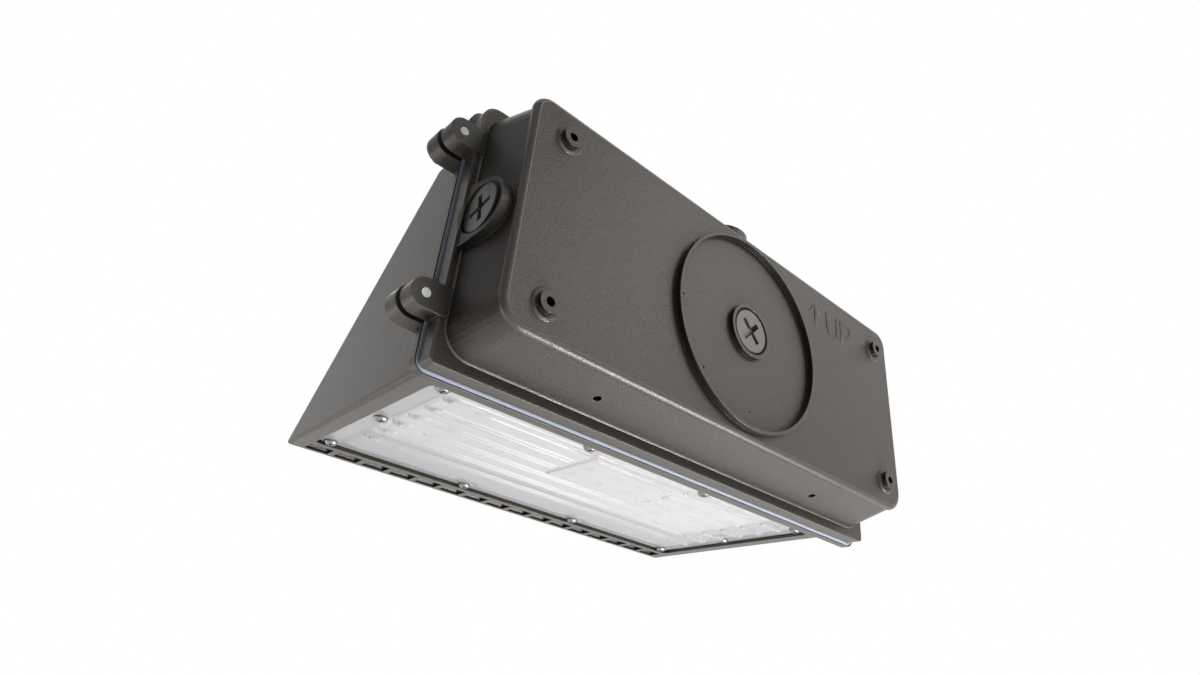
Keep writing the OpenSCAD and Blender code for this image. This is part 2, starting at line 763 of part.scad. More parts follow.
module front_housing() {
    color(bronze)
    difference() {
        union() {
            difference() {
                union() {
                    hood_shape();
                    plate(-door_w / 2, door_w / 2, -door_low, door_top, door_flange_r, door_flange_r, d_door, d_hood);
                    for (z = [-lug_z, lug_z]) door_lug(z);
                    for (z = [-hinge_z, hinge_z]) door_knuckle(z);
                }
                hood_cavity();
                pockets();
            }
            floor_frame()
                for (place = lens_screw_places)
                    translate([place[0], place[1], ledge_z + sink]) cylinder(r = screw_boss_r, h = ledge_t + screw_boss_h);
        }
        floor_frame() {
            pane(lens_w, lens_back, lens_front, lens_r, -over, ledge_z);
            pane(window_w, window_back, window_front, lens_r, ledge_z - over, ledge_top + over);
            for (place = lens_screw_places)
                translate([place[0], place[1], ledge_z - over]) cylinder(r = pilot_r, h = ledge_t + screw_boss_h);
            for (side = [-1, 1], y = [screw_back, screw_front])
                translate([side * tray_screw_x, -y, ledge_top - tray_pilot_l]) cylinder(r = pilot_r, h = ledge_t);
        }
        for (z = [-lug_z, lug_z]) rod(lug_x, z, door_hole_r, d_door - over, d_door + door_lug_t + over);
        for (z = [-hinge_z, hinge_z])
            translate([-hinge_x, -hinge_d, z - knuckle_l]) cylinder(r = pin_hole_r, h = 2 * knuckle_l);
    }
}

module raised_lines() {
    for (i = [0 : ridge_count - 1]) {
        split = -ridge_y(i) < block_front + ridge_r * 2;
        for (side = [-1, 1]) {
            start = split ? block_half + ridge_r * 2 : 0;
            translate([side * start, ridge_y(i), lens_recess - tray_rise])
                rotate([0, side * 90, 0]) cylinder(r = ridge_r, h = ridge_half - start);
            translate([side * ridge_half, ridge_y(i), lens_recess - tray_rise]) sphere(r = ridge_r * 1.5);
        }
    }
}

module lens() {
    color("#f0f2f1", 0.6)
    floor_frame()
        difference() {
            union() {
                pane(lens_w - 2 * drop_gap, lens_back + drop_gap, lens_front - drop_gap, lens_r, lens_recess, lens_top);
                difference() {
                    pane(lens_w - 2 * screw_inset - 2 * drop_gap, screw_back, screw_front, lens_r,
                        lens_recess - tray_rise, lens_recess + tray_rise);
                    for (place = lens_screw_places)
                        translate([place[0], place[1], -over])
                            cylinder(r = small_head_r + screw_inset / 2, h = lens_recess + over);
                }
                intersection() {
                    raised_lines();
                    floor_box(lens_w, lens_back, lens_front, -lens_recess, lens_top);
                }
                pane(2 * block_half, block_back, block_front, ridge_r, lens_recess - tray_rise - block_rise, lens_top);
            }
            for (place = lens_screw_places)
                translate([place[0], place[1], -over]) cylinder(r = lens_hole_r, h = lens_top + 2 * over);
        }
}

module lens_gasket() {
    color("#d9dad6")
    floor_frame()
        difference() {
            pane(lens_w - 2 * drop_gap, lens_back + drop_gap, lens_front - drop_gap, lens_r, lens_top, ledge_z);
            pane(window_w, window_back, window_front, lens_r, lens_top - over, ledge_z + over);
            for (place = lens_screw_places)
                translate([place[0], place[1], lens_top - over]) cylinder(r = lens_hole_r, h = lens_gasket_t + 2 * over);
        }
}

module lens_screws() {
    color(steel)
    floor_frame()
        for (place = lens_screw_places)
            translate([place[0], place[1], lens_recess])
                pan_screw(small_head_r, small_head_h, small_screw_r, lens_screw_l);
}

module led_tray() {
    color("#c9cccd")
    floor_frame()
        difference() {
            pane(spread_w, tray_back, tray_front, lens_r, ledge_top, tray_top);
            for (place = lens_screw_places)
                translate([place[0], place[1], ledge_top - over])
                    cylinder(r = screw_boss_r + drop_gap, h = tray_t + 2 * over);
            for (side = [-1, 1]) {
                for (y = [screw_back, screw_front])
                    translate([side * tray_screw_x, -y, ledge_top - over])
                        cylinder(r = pilot_r + drop_gap / 2, h = tray_t + 2 * over);
                for (share = foot_row_shares)
                    foot_place(side, share, ledge_top - over) cylinder(r = pilot_r, h = tray_t + 2 * over);
            }
            translate([lead_x - notch_w / 2, lead_y - notch_w / 2, ledge_top - over])
                cube([notch_w, notch_w, tray_t + 2 * over]);
        }
}

module tray_screws() {
    color(steel)
    floor_frame()
        for (side = [-1, 1], y = [screw_back, screw_front])
            translate([side * tray_screw_x, -y, tray_top])
                rotate([180, 0, 0])
                    pan_screw(small_head_r, small_head_h, small_screw_r, tray_t + tray_pilot_l - drop_gap / 2);
}

module led_board() {
    color("#f4f4f0")
    floor_frame()
        difference() {
            pane(board_w, board_back, board_front, lens_r / 2, board_z, ledge_top);
            translate([lead_x - notch_w / 2, lead_y - notch_w / 2, board_z - over])
                cube([notch_w, notch_w * 2, board_t + 2 * over]);
            for (side = [-1, 1], share = foot_row_shares)
                foot_place(side, share, board_z - over) cylinder(r = pilot_r * 1.5, h = board_t + 2 * over);
        }
}

module leds() {
    color("#e9d98a")
    floor_frame()
        for (i = [0 : ridge_count - 1], k = [0 : led_count - 1]) {
            x = ridge_half * led_span_share * (2 * k / (led_count - 1) - 1);
            translate([x - led_w / 2, ridge_y(i) - led_w / 2, board_z - led_t]) cube([led_w, led_w, led_t]);
        }
}

// Centre of a foot screw, on one side and at a share of the bracket's depth
module foot_place(side, share, z) {
    translate([side * (bracket_w / 2 + foot_l / 2), -bracket_back - (bracket_front - bracket_back) * share, z])
        children();
}

module driver_bracket() {
    color("#b4b7b8")
    floor_frame()
        difference() {
            union() {
                floor_box(bracket_w, bracket_back, bracket_front, deck_z - sheet_t, deck_z);
                for (side = [-1, 1]) {
                    translate([side * (bracket_w - sheet_t) / 2, 0, 0])
                        floor_box(sheet_t, bracket_back, bracket_front, tray_top, deck_z);
                    translate([side * (bracket_w - sheet_t + foot_l) / 2, 0, 0])
                        floor_box(foot_l + sheet_t, bracket_back, bracket_front, tray_top, tray_top + sheet_t);
                }
            }
            for (side = [-1, 1]) {
                for (share = foot_row_shares)
                    foot_place(side, share, tray_top - over) cylinder(r = pilot_r + drop_gap / 2, h = sheet_t + 2 * over);
                driver_screw_place(side, deck_z - sheet_t - over) cylinder(r = pilot_r, h = sheet_t + 2 * over);
            }
        }
}

module bracket_screws() {
    color(steel)
    floor_frame()
        for (side = [-1, 1], share = foot_row_shares)
            foot_place(side, share, tray_top + sheet_t)
                rotate([180, 0, 0])
                    pan_screw(small_head_r, small_head_h, small_screw_r, bracket_screw_l);
}

module driver_screw_place(side, z) {
    translate([side * (driver_l - ear_l) / 2, -driver_back - driver_w / 2, z]) children();
}

module driver() {
    color("#dcdcd6")
    floor_frame()
        difference() {
            union() {
                floor_box(body_l, driver_back, driver_back + driver_w, deck_z, deck_z + driver_h);
                floor_box(driver_l, driver_back, driver_back + driver_w, deck_z, deck_z + ear_t);
            }
            for (side = [-1, 1])
                driver_screw_place(side, deck_z - over) cylinder(r = pilot_r + drop_gap / 2, h = ear_t + 2 * over);
        }
}

module driver_screws() {
    color(steel)
    floor_frame()
        for (side = [-1, 1])
            driver_screw_place(side, deck_z + ear_t)
                rotate([180, 0, 0])
                    pan_screw(small_head_r, small_head_h, small_screw_r, driver_screw_l);
}

// Rings of points along a route in the plane x = 0, each square to its stretch
function arc_points(centre, r, from, to) =
    [for (i = [0 : lead_bend_steps]) let (turn = from + (to - from) * i / lead_bend_steps)
        [centre[0] + r * cos(turn), centre[1] + r * sin(turn), turn + (to > from ? 90 : -90)]];

module lead(x) {
    start = -driver_back;
    // Each point is a distance along Y, a height and the heading there
    route = concat(
        [[start, lead_top, 0]],
        arc_points([lead_y - lead_bend, lead_top - lead_bend], lead_bend, 90, 0),
        arc_points([lead_y - lead_bend, lead_low + lead_bend], lead_bend, 0, -90),
        [[lead_y - lead_bend - lead_run, lead_low, -180]]
    );
    rings = [for (p = route, k = [0 : lead_sides - 1])
        let (turn = 360 * k / lead_sides, out = lead_r * cos(turn))
        [x + lead_r * sin(turn), p[0] - out * sin(p[2]), p[1] + out * cos(p[2])]];
    last = len(route) - 1;
    sides = [for (i = [0 : last - 1], k = [0 : lead_sides - 1], half = [0, 1])
        let (a = i * lead_sides + k, b = i * lead_sides + (k + 1) % lead_sides)
        half == 0 ? [a, b, b + lead_sides] : [a, b + lead_sides, a + lead_sides]];
    caps = [
        [for (k = [lead_sides - 1 : -1 : 0]) k],
        [for (k = [0 : lead_sides - 1]) last * lead_sides + k]
    ];
    polyhedron(points = rings, faces = concat(sides, caps));
}

module led_leads() {
    color("#d98c8c")
    floor_frame()
        for (side = [-1, 1]) lead(lead_x + side * lead_pitch / 2);
}

module door_screw(z) {
    head = d_door + door_lug_t + face_gap;
    color(steel)
    difference() {
        union() {
            rod(lug_x, z, screw_r, d_flange - lug_t, d_flange - lug_t + thread_l);
            rod(lug_x, z, neck_r, d_flange - lug_t + thread_l - over, head + over);
            rod(lug_x, z, screw_head_r, head, head + screw_head_h);
        }
        translate([lug_x, -head - screw_head_h - over, z])
            rotate([-90, 0, 0]) cylinder(r = drive_r, h = drive_d + over, $fn = 6);
    }
}

module door_screw_upper() { door_screw(lug_z); }
module door_screw_lower() { door_screw(-lug_z); }

rear_housing();
door_gasket();
hinge_pins();
terminal_block();
terminal_screws();
ground_screw();
plug_rear();
plug_side();
plug_top();
seal_rear();
seal_side();
seal_top();
front_housing();
lens();
lens_gasket();
lens_screws();
led_tray();
tray_screws();
led_board();
leds();
led_leads();
driver_bracket();
bracket_screws();
driver();
driver_screws();
door_screw_upper();
door_screw_lower();
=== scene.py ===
"""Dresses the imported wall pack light: coated castings, frosted lens, light engine, mains side and stage."""

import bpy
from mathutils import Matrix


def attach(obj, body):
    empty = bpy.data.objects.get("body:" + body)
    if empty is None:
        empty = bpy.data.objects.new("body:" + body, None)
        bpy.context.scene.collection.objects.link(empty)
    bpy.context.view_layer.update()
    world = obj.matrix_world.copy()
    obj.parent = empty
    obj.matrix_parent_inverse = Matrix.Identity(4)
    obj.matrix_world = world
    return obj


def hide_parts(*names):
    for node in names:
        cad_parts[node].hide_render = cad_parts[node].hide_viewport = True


bl_info = {
    "name": "Wall Pack Light",
    "version": (1, 0, 0),
    "blender": (4, 5, 0),
    "location": "View3D > Sidebar > Wall Pack",
    "description": "Finishes and small details of a cast wall light with a hinged hood",
    "category": "Object",
}

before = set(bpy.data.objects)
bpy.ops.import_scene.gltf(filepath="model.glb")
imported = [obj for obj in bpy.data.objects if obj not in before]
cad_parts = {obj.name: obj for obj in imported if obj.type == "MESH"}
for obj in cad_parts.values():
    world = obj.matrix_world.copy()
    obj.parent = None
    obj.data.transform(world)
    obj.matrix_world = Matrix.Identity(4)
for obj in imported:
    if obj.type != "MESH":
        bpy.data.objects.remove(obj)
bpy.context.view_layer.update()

import math

import bmesh
import bpy
from mathutils import Matrix, Vector

MM = 0.001

# The camera of the photograph, in the frame of the model
CAMERA_PLACE = (0.24772559, 0.19071516, -0.17840344)
CAMERA_RIGHT = (-0.73937249, 0.66724281, 0.09008523)
CAMERA_UP = (0.38110831, 0.30444644, 0.87296553)
CAMERA_BACK = (0.55505385, 0.67977893, -0.4793911)
CAMERA_LENS = 22.45668
CAMERA_SENSOR = 36.0
CAMERA_NEAREST = 0.01


def linear(hex_colour):
    """Turns an sRGB hex colour into the linear values that Blender's sockets take."""
    channels = [int(hex_colour[i:i + 2], 16) / 255 for i in (1, 3, 5)]
    return tuple(c / 12.92 if c <= 0.04045 else ((c + 0.055) / 1.055) ** 2.4 for c in channels)


def per_mm(size):
    """Texture scale at which one cell of a pattern is as many millimetres wide as size says."""
    return 1 / (size * MM)


def colour_property(name, description, hex_colour):
    """A colour that a user would change, with an sRGB hex value as its default."""
    return bpy.props.FloatVectorProperty(
        name=name, description=description, subtype="COLOR", size=3, min=0, max=1,
        default=linear(hex_colour))


def length_property(name, description, millimetres):
    """A small size that a user would change, with its default in millimetres."""
    return bpy.props.FloatProperty(
        name=name, description=description, unit="LENGTH", min=0, default=millimetres * MM)


def power_property(name, description, watts):
    """The power of a lamp."""
    return bpy.props.FloatProperty(
        name=name, description=description, unit="POWER", min=0, default=watts)


class WallPackFinish(bpy.types.PropertyGroup):
    coat: colour_property("Coat", "Bronze powder coat of the castings", "#575049")
    coat_cloud: colour_property("Coat cloud", "Slightly cooler patches in the coat", "#504C47")
    plug: colour_property("Plug", "Coat of the conduit plugs", "#7E7B78")
    door_gasket: colour_property("Door gasket", "Silicone between the box and the hood", "#B3BBCF")
    lens: colour_property("Lens", "Frosted plastic of the lens", "#EBEBEC")
    lens_alpha: bpy.props.FloatProperty(
        name="Lens cover", description="How much one face of the lens hides", subtype="FACTOR",
        min=0, max=1, default=0.42)
    steel: colour_property("Steel", "Zinc plated steel of the screws", "#B9BABB")
    aluminium: colour_property("Aluminium", "Mill finish of the tray and the bracket", "#C4C6C8")
    lead: colour_property("Lead", "Insulation of the leads of the board", "#D9A6A6")


class WallPackSizes(bpy.types.PropertyGroup):
    root_fillet: length_property("Root fillet", "Radius between the box and its flange", 0.6)
    boss_fillet: length_property("Boss fillet", "Radius at the foot of a fixing boss", 0.8)
    mark_width: length_property("Mark width", "Width of the raised strokes of the mounting mark", 1.3)
    mark_height: length_property("Mark height", "Height of the raised strokes", 0.35)
    coat_grain: length_property("Coat grain", "Size of the grain in the powder coat", 0.55)
    edge_round: length_property("Edge round", "Rounding that the coat gives to every edge", 0.5)


class WallPackStage(bpy.types.PropertyGroup):
    floor_colour: colour_property("Floor", "Colour of the floor", "#F4F4F4")
    floor_drop: bpy.props.FloatProperty(
        name="Floor drop", description="Distance of the floor below the light", unit="LENGTH",
        default=0.75)
    ambient: bpy.props.FloatProperty(
        name="Ambient", description="Strength of the even light from all sides", min=0, default=0.13)
    low_power: power_property("Low lamp", "Power of the lamp below and behind", 9.6)
    back_power: power_property("Back lamp", "Power of the lamp behind", 2.2)
    side_power: power_property("Side lamp", "Power of the lamp at the side of the door screws", 3.0)
    front_power: power_property("Front lamp", "Power of the lamp above the front of the hood", 14.0)


# Detail of the noise patterns, and the rays that the bevel and the crevice nodes send
CLOUD_DETAIL = 3.0
GRAIN_DETAIL = 2.0
BEVEL_SAMPLES = 4
CREVICE_SAMPLES = 8
# Nearly all of a noise pattern lies between these values
NOISE_SPAN = (0.3, 0.7)
# Share of open directions at which the painted crevice shade is full, and at which it is gone
CREVICE_SHADE_SPAN = (0.42, 0.92)
# Cosine between the rounded and the flat normal at which the painted edge highlight begins, and at which it
# is full
HIGHLIGHT_EDGE_SPAN = (0.96, 0.85)

SHADER_SOCKETS = {"ior": "IOR", "specular": "Specular IOR Level"}


def add_node(material, kind, inputs=None, **settings):
    """Adds one node, with its settings, its plain values and the links from other nodes' sockets."""
    node = material.node_tree.nodes.new(kind)
    for name, value in settings.items():
        setattr(node, name, value)
    for name, value in (inputs or {}).items():
        if isinstance(value, bpy.types.NodeSocket):
            material.node_tree.links.new(value, node.inputs[name])
        else:
            node.inputs[name].default_value = value
    return node


def new_material(name, base, **shader_values):
    """Makes a material with one Principled shader and returns the material and that shader."""
    material = bpy.data.materials.new(name)
    material.use_nodes = True
    shader = material.node_tree.nodes["Principled BSDF"]
    shader.inputs["Base Color"].default_value = (*base, 1)
    for key, value in shader_values.items():
        shader.inputs[SHADER_SOCKETS.get(key, key.replace("_", " ").title())].default_value = value
    return material, shader


def object_coordinates(material):
    """Coordinates that stay with the piece, in metres of the model."""
    return add_node(material, "ShaderNodeTexCoord").outputs["Object"]


def cloud(material, shader, light, dark, cell):
    """Varies the base colour in soft patches, with cells of a size in millimetres."""
    noise = add_node(material, "ShaderNodeTexNoise", {
        "Vector": object_coordinates(material), "Scale": per_mm(cell), "Detail": CLOUD_DETAIL})
    mix = add_node(material, "ShaderNodeMix", {
        "Factor": noise.outputs["Fac"], 6: (*light, 1), 7: (*dark, 1)}, data_type="RGBA")
    material.node_tree.links.new(mix.outputs[2], shader.inputs["Base Color"])


def grain(material, shader, cell, height, edge=0.0, stretch=(1, 1, 1)):
    """Gives a relief with cells and height in millimetres; rounds edges to a radius of edge, in metres."""
    mapping = add_node(material, "ShaderNodeMapping", {
        "Vector": object_coordinates(material), "Scale": stretch})
    noise = add_node(material, "ShaderNodeTexNoise", {
        "Vector": mapping.outputs["Vector"], "Scale": per_mm(cell), "Detail": GRAIN_DETAIL})
    inputs = {"Height": noise.outputs["Fac"], "Distance": height * MM, "Strength": 1.0}
    if edge:
        rounded = add_node(material, "ShaderNodeBevel", {"Radius": edge}, samples=BEVEL_SAMPLES)
        inputs["Normal"] = rounded.outputs["Normal"]
    bump = add_node(material, "ShaderNodeBump", inputs)
    material.node_tree.links.new(bump.outputs["Normal"], shader.inputs["Normal"])
    return noise


def vary_roughness(material, shader, noise, low, high):
    """Lets the roughness follow a pattern between two values."""
    ramp = add_node(material, "ShaderNodeMapRange", {
        "Value": noise.outputs["Fac"], "From Min": NOISE_SPAN[0], "From Max": NOISE_SPAN[1],
        "To Min": low, "To Max": high})
    material.node_tree.links.new(ramp.outputs["Result"], shader.inputs["Roughness"])


def paint_edge_highlight(material, shader, width, colour, strength):
    """Paints a highlight into the base colour along edges, where rounded edges catch the light; width is in
    millimetres.
    """
    base = shader.inputs["Base Color"].links[0].from_socket
    rounded = add_node(material, "ShaderNodeBevel", {"Radius": width * MM}, samples=BEVEL_SAMPLES)
    flat = add_node(material, "ShaderNodeNewGeometry")
    likeness = add_node(material, "ShaderNodeVectorMath", {
        0: rounded.outputs["Normal"], 1: flat.outputs["True Normal"]}, operation="DOT_PRODUCT")
    share = add_node(material, "ShaderNodeMapRange", {
        "Value": likeness.outputs["Value"], "From Min": HIGHLIGHT_EDGE_SPAN[0], "From Max": HIGHLIGHT_EDGE_SPAN[1],
        "To Min": 0.0, "To Max": strength})
    mix = add_node(material, "ShaderNodeMix", {
        "Factor": share.outputs["Result"], 6: base, 7: (*colour, 1)}, data_type="RGBA")
    material.node_tree.links.new(mix.outputs[2], shader.inputs["Base Color"])


def paint_crevice_shade(material, shader, reach, colour):
    """Paints shade into the base colour in narrow places, where light hardly gets; reach is in millimetres.
    """
    base = shader.inputs["Base Color"].links[0].from_socket
    nearness = add_node(
        material, "ShaderNodeAmbientOcclusion", {"Distance": reach * MM},
        samples=CREVICE_SAMPLES, only_local=True)
    open_share = add_node(material, "ShaderNodeMapRange", {
        "Value": nearness.outputs["AO"], "From Min": CREVICE_SHADE_SPAN[0], "From Max": CREVICE_SHADE_SPAN[1],
        "To Min": 0.0, "To Max": 1.0})
    mix = add_node(material, "ShaderNodeMix", {
        "Factor": open_share.outputs["Result"], 6: (*colour, 1), 7: base}, data_type="RGBA")
    material.node_tree.links.new(mix.outputs[2], shader.inputs["Base Color"])


def finish_node(name, material):
    """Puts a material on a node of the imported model."""
    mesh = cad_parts[name].data
    mesh.materials.clear()
    mesh.materials.append(material)


def piece(name, mesh_data, material, body):
    """Makes an object of a bmesh, which rides on a body and takes its finish from a slot."""
    mesh = bpy.data.meshes.new(name)
    bmesh.ops.recalc_face_normals(mesh_data, faces=mesh_data.faces)
    mesh_data.to_mesh(mesh)
    mesh_data.free()
    mesh.materials.append(material)
    mesh.shade_smooth()
    made = bpy.data.objects.new(name, mesh)
    bpy.context.scene.collection.objects.link(made)
    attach(made, body)
    return made


def loft(mesh_data, rings, closed):
    """Joins closed rings of points with faces, and the last ring with the first where closed is set."""
    rows = [[mesh_data.verts.new(point) for point in ring] for ring in rings]
    count = len(rows[0])
    pairs = list(zip(rows, rows[1:] + rows[:1])) if closed else list(zip(rows, rows[1:]))
    for row, after in pairs:
        for k in range(count):
            mesh_data.faces.new((row[k], row[(k + 1) % count], after[(k + 1) % count], after[k]))
    if not closed:
        mesh_data.faces.new(rows[0][::-1])
        mesh_data.faces.new(rows[-1])


# The rear box in millimetres, as the model has it: its back edge, its corner radius, the depths where
# its drafted sides begin and end, and how far each side leans out over that depth
BOX = {
    "left": -131.5, "right": 134.8, "low": -54.0, "high": 55.2, "radius": 12.0,
    "edge": 7.0, "root": 31.5,
    "grow_left": 2.2, "grow_right": 4.7, "grow_low": 5.3, "grow_high": 3.3,
}
BACK_FACE = 3.0
CORNER_STEPS = 10
# The rolled rim of the box: its radius, its upper corner radius and how far it turns, in degrees
RIM_RADIUS = 2.5
RIM_CORNER_HIGH = 8.5
RIM_LAST_TURN = 150
# The rolled edge of the flange
FLANGE = {
    "left": -137.2, "right": 143.0, "low": -64.4, "high": 62.0, "radius_high": 8.5, "radius_low": 3.0,
}
FLANGE_EDGE = 0.9
FLANGE_LAST_TURN = 90
# How far a rolled skin stands off the casting, and the angle between its rows, in degrees
SKIN = 0.04
ROLL_STEP = 10
# A fillet closes through points inside the casting, this deep and this far in
ROOT_SUNK_DEPTH = 0.5
ROOT_SUNK_IN = 0.8
BOSS_SUNK = 0.4
FILLET_STEPS = 5


def corner_places(left, right, low, high, radius_high, radius_low):
    """Places round a rounded rectangle, each with the middle of its corner, its way out and its radius."""
    places = []
    for side_x, side_z, start in ((1, 1, 0), (-1, 1, 90), (-1, -1, 180), (1, -1, 270)):
        r = radius_high if side_z > 0 else radius_low
        middle = Vector((right - r if side_x > 0 else left + r, 0, high - r if side_z > 0 else low + r))
        for step in range(CORNER_STEPS + 1):
            turn = math.radians(start + 90 * step / CORNER_STEPS)
            places.append((middle, Vector((math.cos(turn), 0, math.sin(turn))), r))
    return places


def box_outline(depth, offset=0.0):
    """Points round the outside of the rear box at a depth, in millimetres, moved outwards by an offset."""
    grow = (depth - BOX["edge"]) / (BOX["root"] - BOX["edge"])
    places = corner_places(
        BOX["left"] - BOX["grow_left"] * grow, BOX["right"] + BOX["grow_right"] * grow,
        BOX["low"] - BOX["grow_low"] * grow, BOX["high"] + BOX["grow_high"] * grow,
        BOX["radius"], BOX["radius"])
    return [middle + out * (r + offset) - Vector((0, depth, 0)) for middle, out, r in places]


def rolled_edge(places, depth, radius, last_turn):
    """Smooth skin over an edge that the casting rolls over, from its face at a depth round to its side."""
    mesh_data = bmesh.new()
    rings = []
    for middle, out, r in places:
        centre = middle + out * (r - radius) - Vector((0, depth + radius, 0))
        ring = [centre]
        for degrees in range(0, last_turn + 1, ROLL_STEP):
            turn = math.radians(degrees)
            way = out * math.sin(turn) + Vector((0, math.cos(turn), 0))
            ring.append(centre + way * (radius + SKIN))
        rings.append([point * MM for point in ring])
    loft(mesh_data, rings, closed=True)
    return mesh_data


def fillet_ring(foot, corner, top, sunk):
    """Points of a hollow fillet from its foot to its top, closed through a point inside the casting."""
    ring = []
    for step in range(FILLET_STEPS + 1):
        t = step / FILLET_STEPS
        ring.append(foot * (1 - t) ** 2 + corner * 2 * t * (1 - t) + top * t ** 2)
    ring.append(sunk)
    return [point * MM for point in ring]


def root_fillet_mesh(radius):
    """Hollow fillet between the drafted sides of the box and its flange."""
    root = BOX["root"]
    outlines = (
        box_outline(root, radius), box_outline(root), box_outline(root - radius),
        box_outline(root + ROOT_SUNK_DEPTH, -ROOT_SUNK_IN))
    mesh_data = bmesh.new()
    loft(mesh_data, [fillet_ring(*points) for points in zip(*outlines)], closed=True)
    return mesh_data


# The fixing bosses: their places on the back face and their radius, in millimetres
FIXING_PLACES = [(x, z) for x in (-116.4, 116.4) for z in (-39.7, 39.7)]
BOSS_RADIUS = 6.2
BOSS_STEPS = 48


def boss_fillet(mesh_data, x, z, round_size):
    """Hollow fillet round the foot of a boss that stands on the back face."""
    rings = []
    for k in range(BOSS_STEPS):
        turn = 2 * math.pi * k / BOSS_STEPS
        out = Vector((math.cos(turn), 0, math.sin(turn)))
        centre = Vector((x, -BACK_FACE, z))
        rings.append(fillet_ring(
            centre + out * (BOSS_RADIUS + round_size), centre + out * BOSS_RADIUS,
            centre + out * BOSS_RADIUS + Vector((0, round_size, 0)),
            centre + out * (BOSS_RADIUS - BOSS_SUNK) - Vector((0, BOSS_SUNK, 0))))
    loft(mesh_data, rings, closed=True)


# Strokes of the mounting mark, an arrow and UP, as places on the back face in millimetres
MARK_STROKES = [
    [(-58.3, 29.2), (-58.2, 42.0)],
    [(-54.4, 38.4), (-58.4, 43.2), (-62.6, 38.6)],
    [(-69.1, 43.6), (-69.5, 34.0), (-70.9, 30.6), (-74.1, 29.2), (-77.3, 30.6), (-78.7, 34.0),
     (-78.9, 43.6)],
    [(-83.0, 29.5), (-82.9, 43.5), (-88.4, 43.4), (-91.3, 42.2), (-92.4, 39.6), (-91.3, 37.0),
     (-88.4, 35.8), (-83.0, 35.7)],
]
STROKE_STEPS = 8


def raised_stroke(mesh_data, stroke, width, height):
    """A bead with a half round section along a row of places on the back face."""
    places = [Vector((x * MM, 0, z * MM)) for x, z in stroke]
    base = -BACK_FACE * MM
    sunk = Vector((0, base - height, 0))
    rings = []
    for i, place in enumerate(places):
        before = places[max(i - 1, 0)]
        after = places[min(i + 1, len(places) - 1)]
        ahead = (after - before).normalized()
        across = Vector((-ahead.z, 0, ahead.x))
        ring = []
        for step in range(STROKE_STEPS + 1):
            turn = math.pi * step / STROKE_STEPS
            rise = Vector((0, base + height * math.sin(turn), 0))
            ring.append(place + across * (width / 2 * math.cos(turn)) + rise)
        ring.append(place - across * width / 2 + sunk)
        ring.append(place + across * width / 2 + sunk)
        rings.append(ring)
    loft(mesh_data, rings, closed=False)


def coat_material(name, finish, sizes, specular):
    """The coat of the castings, with the strength of its gloss."""
    # Bronze polyester powder coat, sprayed and baked: a fine pebbled relief that breaks highlights into
    # grains, a little metal flake, and soft round edges. The real grain of about 0.2 mm is drawn coarser
    # so that it shows. Its edges carry a painted highlight, its narrow places painted shade.
    material, shader = new_material(name, finish.coat, metallic=0.3, roughness=0.34, specular=specular)
    cloud(material, shader, finish.coat, finish.coat_cloud, cell=28)
    noise = grain(material, shader, cell=sizes.coat_grain / MM, height=0.16, edge=sizes.edge_round)
    vary_roughness(material, shader, noise, low=0.26, high=0.4)
    # Painted highlight: the base colour is lightened along every edge
    paint_edge_highlight(material, shader, width=0.6, colour=linear("#A39D92"), strength=0.6)
    # Painted shade: the base colour is darkened in narrow places
    paint_crevice_shade(material, shader, reach=14, colour=linear("#1F1D1A"))
    return material


class WALLPACK_OT_castings(bpy.types.Operator):
    """Coats the rear housing and the hood, and adds their fillets, rolled edges and mounting mark"""
    bl_idname = "wallpack.castings"
    bl_label = "Castings"

    def execute(self, context):
        finish = context.scene.wall_pack_finish
        sizes = context.scene.wall_pack_sizes
        coat = coat_material("bronze_powder_coat", finish, sizes, specular=0.45)
        # The same coat where it gathers on a rolled edge: thicker, and glossier for it
        edge_coat = coat_material("gathered_powder_coat", finish, sizes, specular=1.0)
        for name in ("rear_housing", "front_housing"):
            finish_node(name, coat)

        fillet = root_fillet_mesh(sizes.root_fillet / MM)
        piece("root_fillet", fillet, coat, "housing")
        rim = corner_places(
            BOX["left"], BOX["right"], BOX["low"], BOX["high"], RIM_CORNER_HIGH, BOX["radius"])
        rim_skin = rolled_edge(rim, BACK_FACE, RIM_RADIUS, RIM_LAST_TURN)
        piece("rim_roll", rim_skin, edge_coat, "housing")
        flange_skin = rolled_edge(corner_places(**FLANGE), BOX["root"], FLANGE_EDGE, FLANGE_LAST_TURN)
        piece("flange_roll", flange_skin, edge_coat, "housing")
        fillets = bmesh.new()
        for x, z in FIXING_PLACES:
            boss_fillet(fillets, x, z, sizes.boss_fillet / MM)
        piece("boss_fillets", fillets, coat, "housing")
        mark = bmesh.new()
        for stroke in MARK_STROKES:
            raised_stroke(mark, stroke, sizes.mark_width, sizes.mark_height)
        piece("up_mark", mark, coat, "housing")
        return {"FINISHED"}


class WALLPACK_OT_ports(bpy.types.Operator):
    """Finishes the conduit plugs and their sealing rings"""
    bl_idname = "wallpack.ports"
    bl_label = "Conduit ports"

    def execute(self, context):
        finish = context.scene.wall_pack_finish
        sizes = context.scene.wall_pack_sizes
        # Die cast zinc with a thin satin coat: smoother and lighter than the powder coat of the box
        coat, shader = new_material("satin_coated_zinc", finish.plug, metallic=0.35, roughness=0.38)
        grain(coat, shader, cell=0.4, height=0.02, edge=sizes.edge_round * 0.5)
        # Moulded nitrile rubber: deep black with a dull sheen
        rubber, shader = new_material("nitrile_rubber", linear("#0A0A0A"), roughness=0.6, specular=0.2)
        grain(rubber, shader, cell=0.3, height=0.01)
        for port in ("rear", "side", "top"):
            finish_node("plug_" + port, coat)
            finish_node("seal_" + port, rubber)
        return {"FINISHED"}


